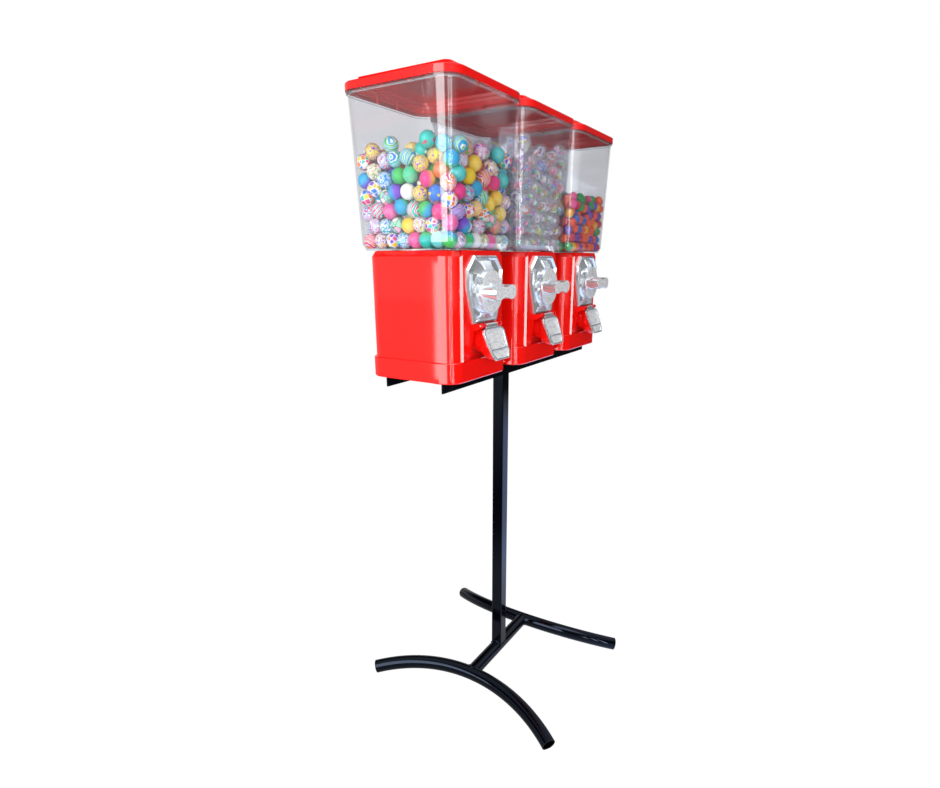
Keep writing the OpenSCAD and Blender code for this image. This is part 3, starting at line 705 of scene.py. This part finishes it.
def fill_capsules():
    """Clear capsules, each with its own small bundle of trinkets inside."""
    random = np.random.default_rng(21)
    shell = ball_template(CAPSULE_D / 2)
    band = seam_band()
    toys = [toy_ring(), toy_bead(), toy_band()]
    shells = bmesh.new()
    insides = bmesh.new()
    for spot in settle(CAPSULE_D / 2, 10, 7, 0.22, 23):
        centre = Matrix.Translation((HEAD_X["middle"] + spot[0], spot[1], spot[2]))
        turned = centre @ rolled(random)
        add_shape(shells, shell, turned, random.random())
        add_shape(shells, band, turned, random.random())
        for _ in range(TOYS_EACH):
            aside = random.normal(0, TOY_SPREAD, 3).clip(-TOY_REACH, TOY_REACH)
            add_shape(insides, toys[random.integers(3)],
                      centre @ Matrix.Translation(aside) @ rolled(random), random.random())
    piece("capsule_shells", finished("capsule_shells", shells, is_smooth=False), [CLEAR_SHELL],
          instead_of=["toy_capsules"])
    piece("capsule_trinkets", finished("capsule_trinkets", insides), [TRINKET])


fill_hopper("bouncy_ball_fill", "left", settle(BOUNCY_D / 2, 9, 7, 0.22, 11), BOUNCY_D / 2,
            "bouncy_balls", RUBBERS, RUBBER_SHARES, 4)
fill_hopper("gumball_fill", "right", settle(GUM_D / 2, 9, 9, 0.05, 12), GUM_D / 2,
            "gumballs", [SUGAR], [1.0], 9)
fill_capsules()


# ---------------------------------------------------------------- plated and painted front pieces

FLAP_LEAN = math.radians(22)        # of the closed flap, from upright
FLAP_FRONT = Vector((0, -math.cos(FLAP_LEAN), math.sin(FLAP_LEAN)))
HINGE = sum(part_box("hinge_pin_left"), Vector()) / 2
PANEL_LEAST = 1.9 * MM              # from the hinge's axis out to the flap's sunk panels
PANEL_MOST = 2.4 * MM
SAME_WAY = 0.99                     # cosine above which two directions count as one


def faces_customer(face):
    """The flat fronts of the disc and of its handle, but not their slivers."""
    return face.normal.y < -SAME_WAY and face.calc_area() > (10 * MM) ** 2


def in_flap_panel(face):
    """The sunk panels of the closed flap's front."""
    out = (face.calc_center_median() - HINGE).dot(FLAP_FRONT)
    return face.normal.dot(FLAP_FRONT) > SAME_WAY and PANEL_LEAST < out < PANEL_MOST


for head in HEADS:
    eased_copy(f"coin_plate_{head}", 0.4, [CHROME])
    eased_copy(f"knob_{head}", 0.7, [CHROME, PEBBLE], faces_customer)
    eased_copy(f"flap_{head}", 0.4, [CHROME, PEBBLE], in_flap_panel)


# ---------------------------------------------------------------- welds of the stand

WELD_SIDES = 8                      # of the bead's cross section
RIPPLE = 0.12                       # share by which the passes swell the bead
RIPPLE_TURN = 2.1                   # radians of a ripple from one point of the path to the next
UNEVEN = 0.05                       # random share on top of the ripples
POST_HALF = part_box("post")[1].x
PLATE_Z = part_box("head_plate")[0].z
BAR_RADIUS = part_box("crossbar")[1].y
BAR_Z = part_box("crossbar")[1].z - BAR_RADIUS
BAR_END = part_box("crossbar")[1].x


def bridge_rings(bm, rings):
    """Faces between each ring and the next, each ring turned to meet the one before it."""
    for i, ring in enumerate(rings):
        after = rings[(i + 1) % len(rings)]
        shift = min(range(WELD_SIDES), key=lambda k: (after[k].co - ring[0].co).length)
        for k in range(WELD_SIDES):
            ahead = (k + 1) % WELD_SIDES
            bm.faces.new([ring[k], ring[ahead], after[(ahead + shift) % WELD_SIDES],
                          after[(k + shift) % WELD_SIDES]])


def weld_bead(name, path, radius_mm, seed):
    """A closed run of weld along a path: a thin tube swollen by the ripples of its passes."""
    random = np.random.default_rng(seed)
    bm = bmesh.new()
    rings = []
    for i, spot in enumerate(path):
        ahead = (path[(i + 1) % len(path)] - path[i - 1]).normalized()
        side = ahead.orthogonal().normalized()
        up = ahead.cross(side)
        swell = 1 + RIPPLE * math.sin(i * RIPPLE_TURN) + UNEVEN * random.normal()
        size = radius_mm * MM * swell
        rings.append([bm.verts.new(spot + (side * math.cos(a) + up * math.sin(a)) * size)
                      for a in np.arange(WELD_SIDES) * math.tau / WELD_SIDES])
    bridge_rings(bm, rings)
    bmesh.ops.recalc_face_normals(bm, faces=bm.faces[:])
    piece(name, finished(name, bm), [BLACK])


def post_path(z_at, steps=24):
    """Points round the post's foot or head, at the height z_at gives for y."""
    run = [-POST_HALF + 2 * POST_HALF * i / steps for i in range(steps)]
    flat = [(x, -POST_HALF) for x in run] + [(POST_HALF, y) for y in run] \
        + [(-x, POST_HALF) for x in run] + [(-POST_HALF, -y) for y in run]
    return [Vector((x, y, z_at(y))) for x, y in flat]


def bar_path(way, steps=64):
    """Points round one end of the crossbar, where it is cut to fit the foot's tube."""
    path = []
    for angle in np.arange(steps) * math.tau / steps:
        y = BAR_RADIUS * math.cos(angle)
        z = BAR_RADIUS * math.sin(angle)
        path.append(Vector((way * (BAR_END - abs(y)), y, BAR_Z + z)))
    return path


weld_bead("post_foot_weld", post_path(lambda y: BAR_Z + math.sqrt(BAR_RADIUS ** 2 - y ** 2)),
          2.0, 31)
weld_bead("post_head_weld", post_path(lambda y: PLATE_Z), 1.6, 32)
weld_bead("bar_weld_left", bar_path(-1), 1.8, 32)
weld_bead("bar_weld_right", bar_path(1), 1.8, 34)


# ---------------------------------------------------------------- floor, light and camera

BRIGHT_SIDE = (-0.8, 0.6, 0.0)      # the way to the studio's white walls, at the left and behind


def seen_direct(tree):
    """The light path, and a number: 1 for what the eye sees direct or through glass, else 0."""
    path = add(tree, "LightPath")
    return path, add(tree, "Math", links={0: path.outputs["Is Camera Ray"],
                                          1: path.outputs["Is Transmission Ray"]},
                     operation="MAXIMUM")


def pale_floor():
    """White studio floor that keeps a faint shadow.

    In a mirror it is blue and bright in front, pale near the stand and far off at the bright
    side, and else dim."""
    made, tree = bare_material("pale_floor")
    path, direct = seen_direct(tree)
    share = add(tree, "Math", {1: 0.88}, {0: direct.outputs[0]}, operation="MULTIPLY")
    paper = add(tree, "BsdfDiffuse", {"Color": "#E6E6E6"})      # this part takes the shadow
    white = add(tree, "Emission", {"Color": "#FFFFFF", "Strength": 1.1})
    spot = add(tree, "TexCoord").outputs["Object"]
    along = add(tree, "VectorMath", {1: BRIGHT_SIDE}, {0: spot},
                operation="DOT_PRODUCT").outputs["Value"]
    far = add(tree, "VectorMath", links={0: spot}, operation="LENGTH").outputs["Value"]
    walls = add(tree, "MapRange", {"From Min": 1.2, "From Max": 2.8, "To Min": 0.05,
                                   "To Max": 0.7}, {"Value": along})
    patch = add(tree, "MapRange", {"From Min": 0.5, "From Max": 0.85, "To Min": 0.45,
                                   "To Max": 0.0}, {"Value": far})
    front = add(tree, "MapRange", {"From Min": 0.0, "From Max": -0.6}, {"Value": along})
    near = add(tree, "MapRange", {"From Min": 2.2, "From Max": 3.4, "To Min": 1.0,
                                  "To Max": 0.0}, {"Value": far})
    blue = add(tree, "Math", links={0: front.outputs["Result"], 1: near.outputs["Result"]},
               operation="MULTIPLY")
    tone = add(tree, "Mix", {6: "#DAD8D6", 7: "#B6CAF6"}, {"Factor": blue.outputs[0]},
               data_type="RGBA")
    around = add(tree, "Math", links={0: walls.outputs["Result"], 1: patch.outputs["Result"]},
                 operation="ADD")
    lit = add(tree, "Math", {1: 1.6}, {0: blue.outputs[0], 2: around.outputs[0]},
              operation="MULTIPLY_ADD")
    dim = add(tree, "Emission", links={"Color": tone.outputs[2], "Strength": lit.outputs[0]})
    whole = add(tree, "MixShader", links={"Fac": share.outputs[0], 1: paper.outputs[0],
                                          2: white.outputs[0]})
    whole = add(tree, "MixShader", links={"Fac": path.outputs["Is Glossy Ray"],
                                          1: whole.outputs[0], 2: dim.outputs[0]})
    add(tree, "OutputMaterial", links={"Surface": whole.outputs[0]})
    return made


def studio_floor():
    """A floor 24 m square under the stand's feet."""
    bm = bmesh.new()
    bmesh.ops.create_grid(bm, x_segments=1, y_segments=1, size=12)
    mesh = finished("studio_floor", bm, is_smooth=False)
    mesh.materials.append(pale_floor())
    floor = bpy.data.objects.new("studio_floor", mesh)
    bpy.context.scene.collection.objects.link(floor)


def studio_world():
    """White where it is seen.

    Mirrors find it light near the floor, dim higher up and light overhead. Only towards the
    front right, away from the bright side, is it dark near the floor and light higher up."""
    world = bpy.data.worlds.new("studio_world")
    world.use_nodes = True
    tree = world.node_tree
    tree.nodes.clear()
    path, direct = seen_direct(tree)
    way = add(tree, "TexCoord").outputs["Generated"]
    along = add(tree, "VectorMath", {1: BRIGHT_SIDE}, {0: way},
                operation="DOT_PRODUCT").outputs["Value"]
    up = add(tree, "SeparateXYZ", links={0: way}).outputs["Z"]
    walls = add(tree, "MapRange", {"From Min": -0.9, "From Max": -0.3, "To Min": 0.08,
                                   "To Max": 0.65}, {"Value": along})
    ceiling = add(tree, "ValToRGB", links={"Fac": up},
                  stops=[(0.2, "#FFFFFF"), (0.45, "#303030"), (0.72, "#303030"), (0.82, "#F3F3F3")])
    high = add(tree, "MapRange", {"From Min": 0.3, "From Max": 0.42, "To Max": 0.75},
               {"Value": up})
    right = add(tree, "MapRange", {"From Min": -0.7, "From Max": -0.4, "To Min": 1.0,
                                   "To Max": 0.0}, {"Value": along})
    over = add(tree, "Math", links={0: high.outputs["Result"], 1: right.outputs["Result"]},
               operation="MULTIPLY")
    mirrored = add(tree, "Math", links={0: walls.outputs["Result"],
                                        1: ceiling.outputs["Color"], 2: over.outputs[0]},
                   operation="MULTIPLY_ADD")
    level = add(tree, "MapRange", {"To Min": 0.3}, {"Value": direct.outputs[0]})
    level = add(tree, "Mix", links={0: path.outputs["Is Glossy Ray"], 2: level.outputs["Result"],
                                    3: mirrored.outputs[0]})
    sky = add(tree, "Background", {"Color": "#FFFFFF"}, {"Strength": level.outputs[0]})
    add(tree, "OutputWorld", links={"Surface": sky.outputs[0]})
    return world


def softbox(name, place, aim, width, height, watts, is_mirrored=True):
    """A rectangular lamp turned to face a point; the camera does not see it itself."""
    lamp = bpy.data.lights.new(name, "AREA")
    lamp.shape = "RECTANGLE"
    lamp.size = width
    lamp.size_y = height
    lamp.energy = watts
    obj = bpy.data.objects.new(name, lamp)
    obj.location = place
    obj.rotation_euler = (Vector(aim) - Vector(place)).to_track_quat("-Z", "Y").to_euler()
    obj.visible_camera = False
    obj.visible_glossy = is_mirrored
    bpy.context.scene.collection.objects.link(obj)


studio_floor()
bpy.context.scene.world = studio_world()
softbox("left_softbox", (-2.03, 0.165, 1.35), (0, 0.165, 1.35), 1.77, 1.9, 54)
softbox("low_softbox", (-2.03, 1.12, 0.71), (0, 1.12, 0.71), 0.14, 0.6, 1.4)
softbox("front_softbox", (-1.4, -1.95, 1.1), (0, 0, 1.1), 2.2, 1.4, 20, is_mirrored=False)
for strip, x, y, aim_x in (("left_strip", -2.18, -1.885, -0.24), ("middle_strip", -1.74, -2.075, 0),
                           ("right_strip", -1.35, -2.2, 0.24)):
    softbox(strip, (x, y, 1.05), (aim_x, 0, 1.05), 0.1, 1.5, 5.5)
softbox("top_softbox", (-0.3, -0.4, 2.9), (0, 0, 1.0), 1.6, 1.2, 18)

camera = bpy.data.objects.new("camera", bpy.data.cameras.new("camera"))
bpy.context.scene.collection.objects.link(camera)
camera.location = (-1.15225, -0.66062, 1.02692)
camera.rotation_euler = (math.radians(73.0), 0, math.radians(-58.4))
camera.data.sensor_width = 36
camera.data.lens = 22.4
camera.data.shift_x = -0.014
camera.data.shift_y = 0.0466
bpy.context.scene.camera = camera
bpy.context.scene.view_settings.view_transform = "Standard"
bpy.context.scene.cycles.transparent_max_bounces = 48       # clear shells lie many deep

# the templates of the fills' shapes are no longer needed
for unused in [m for m in bpy.data.meshes if m.users == 0]:
    bpy.data.meshes.remove(unused)
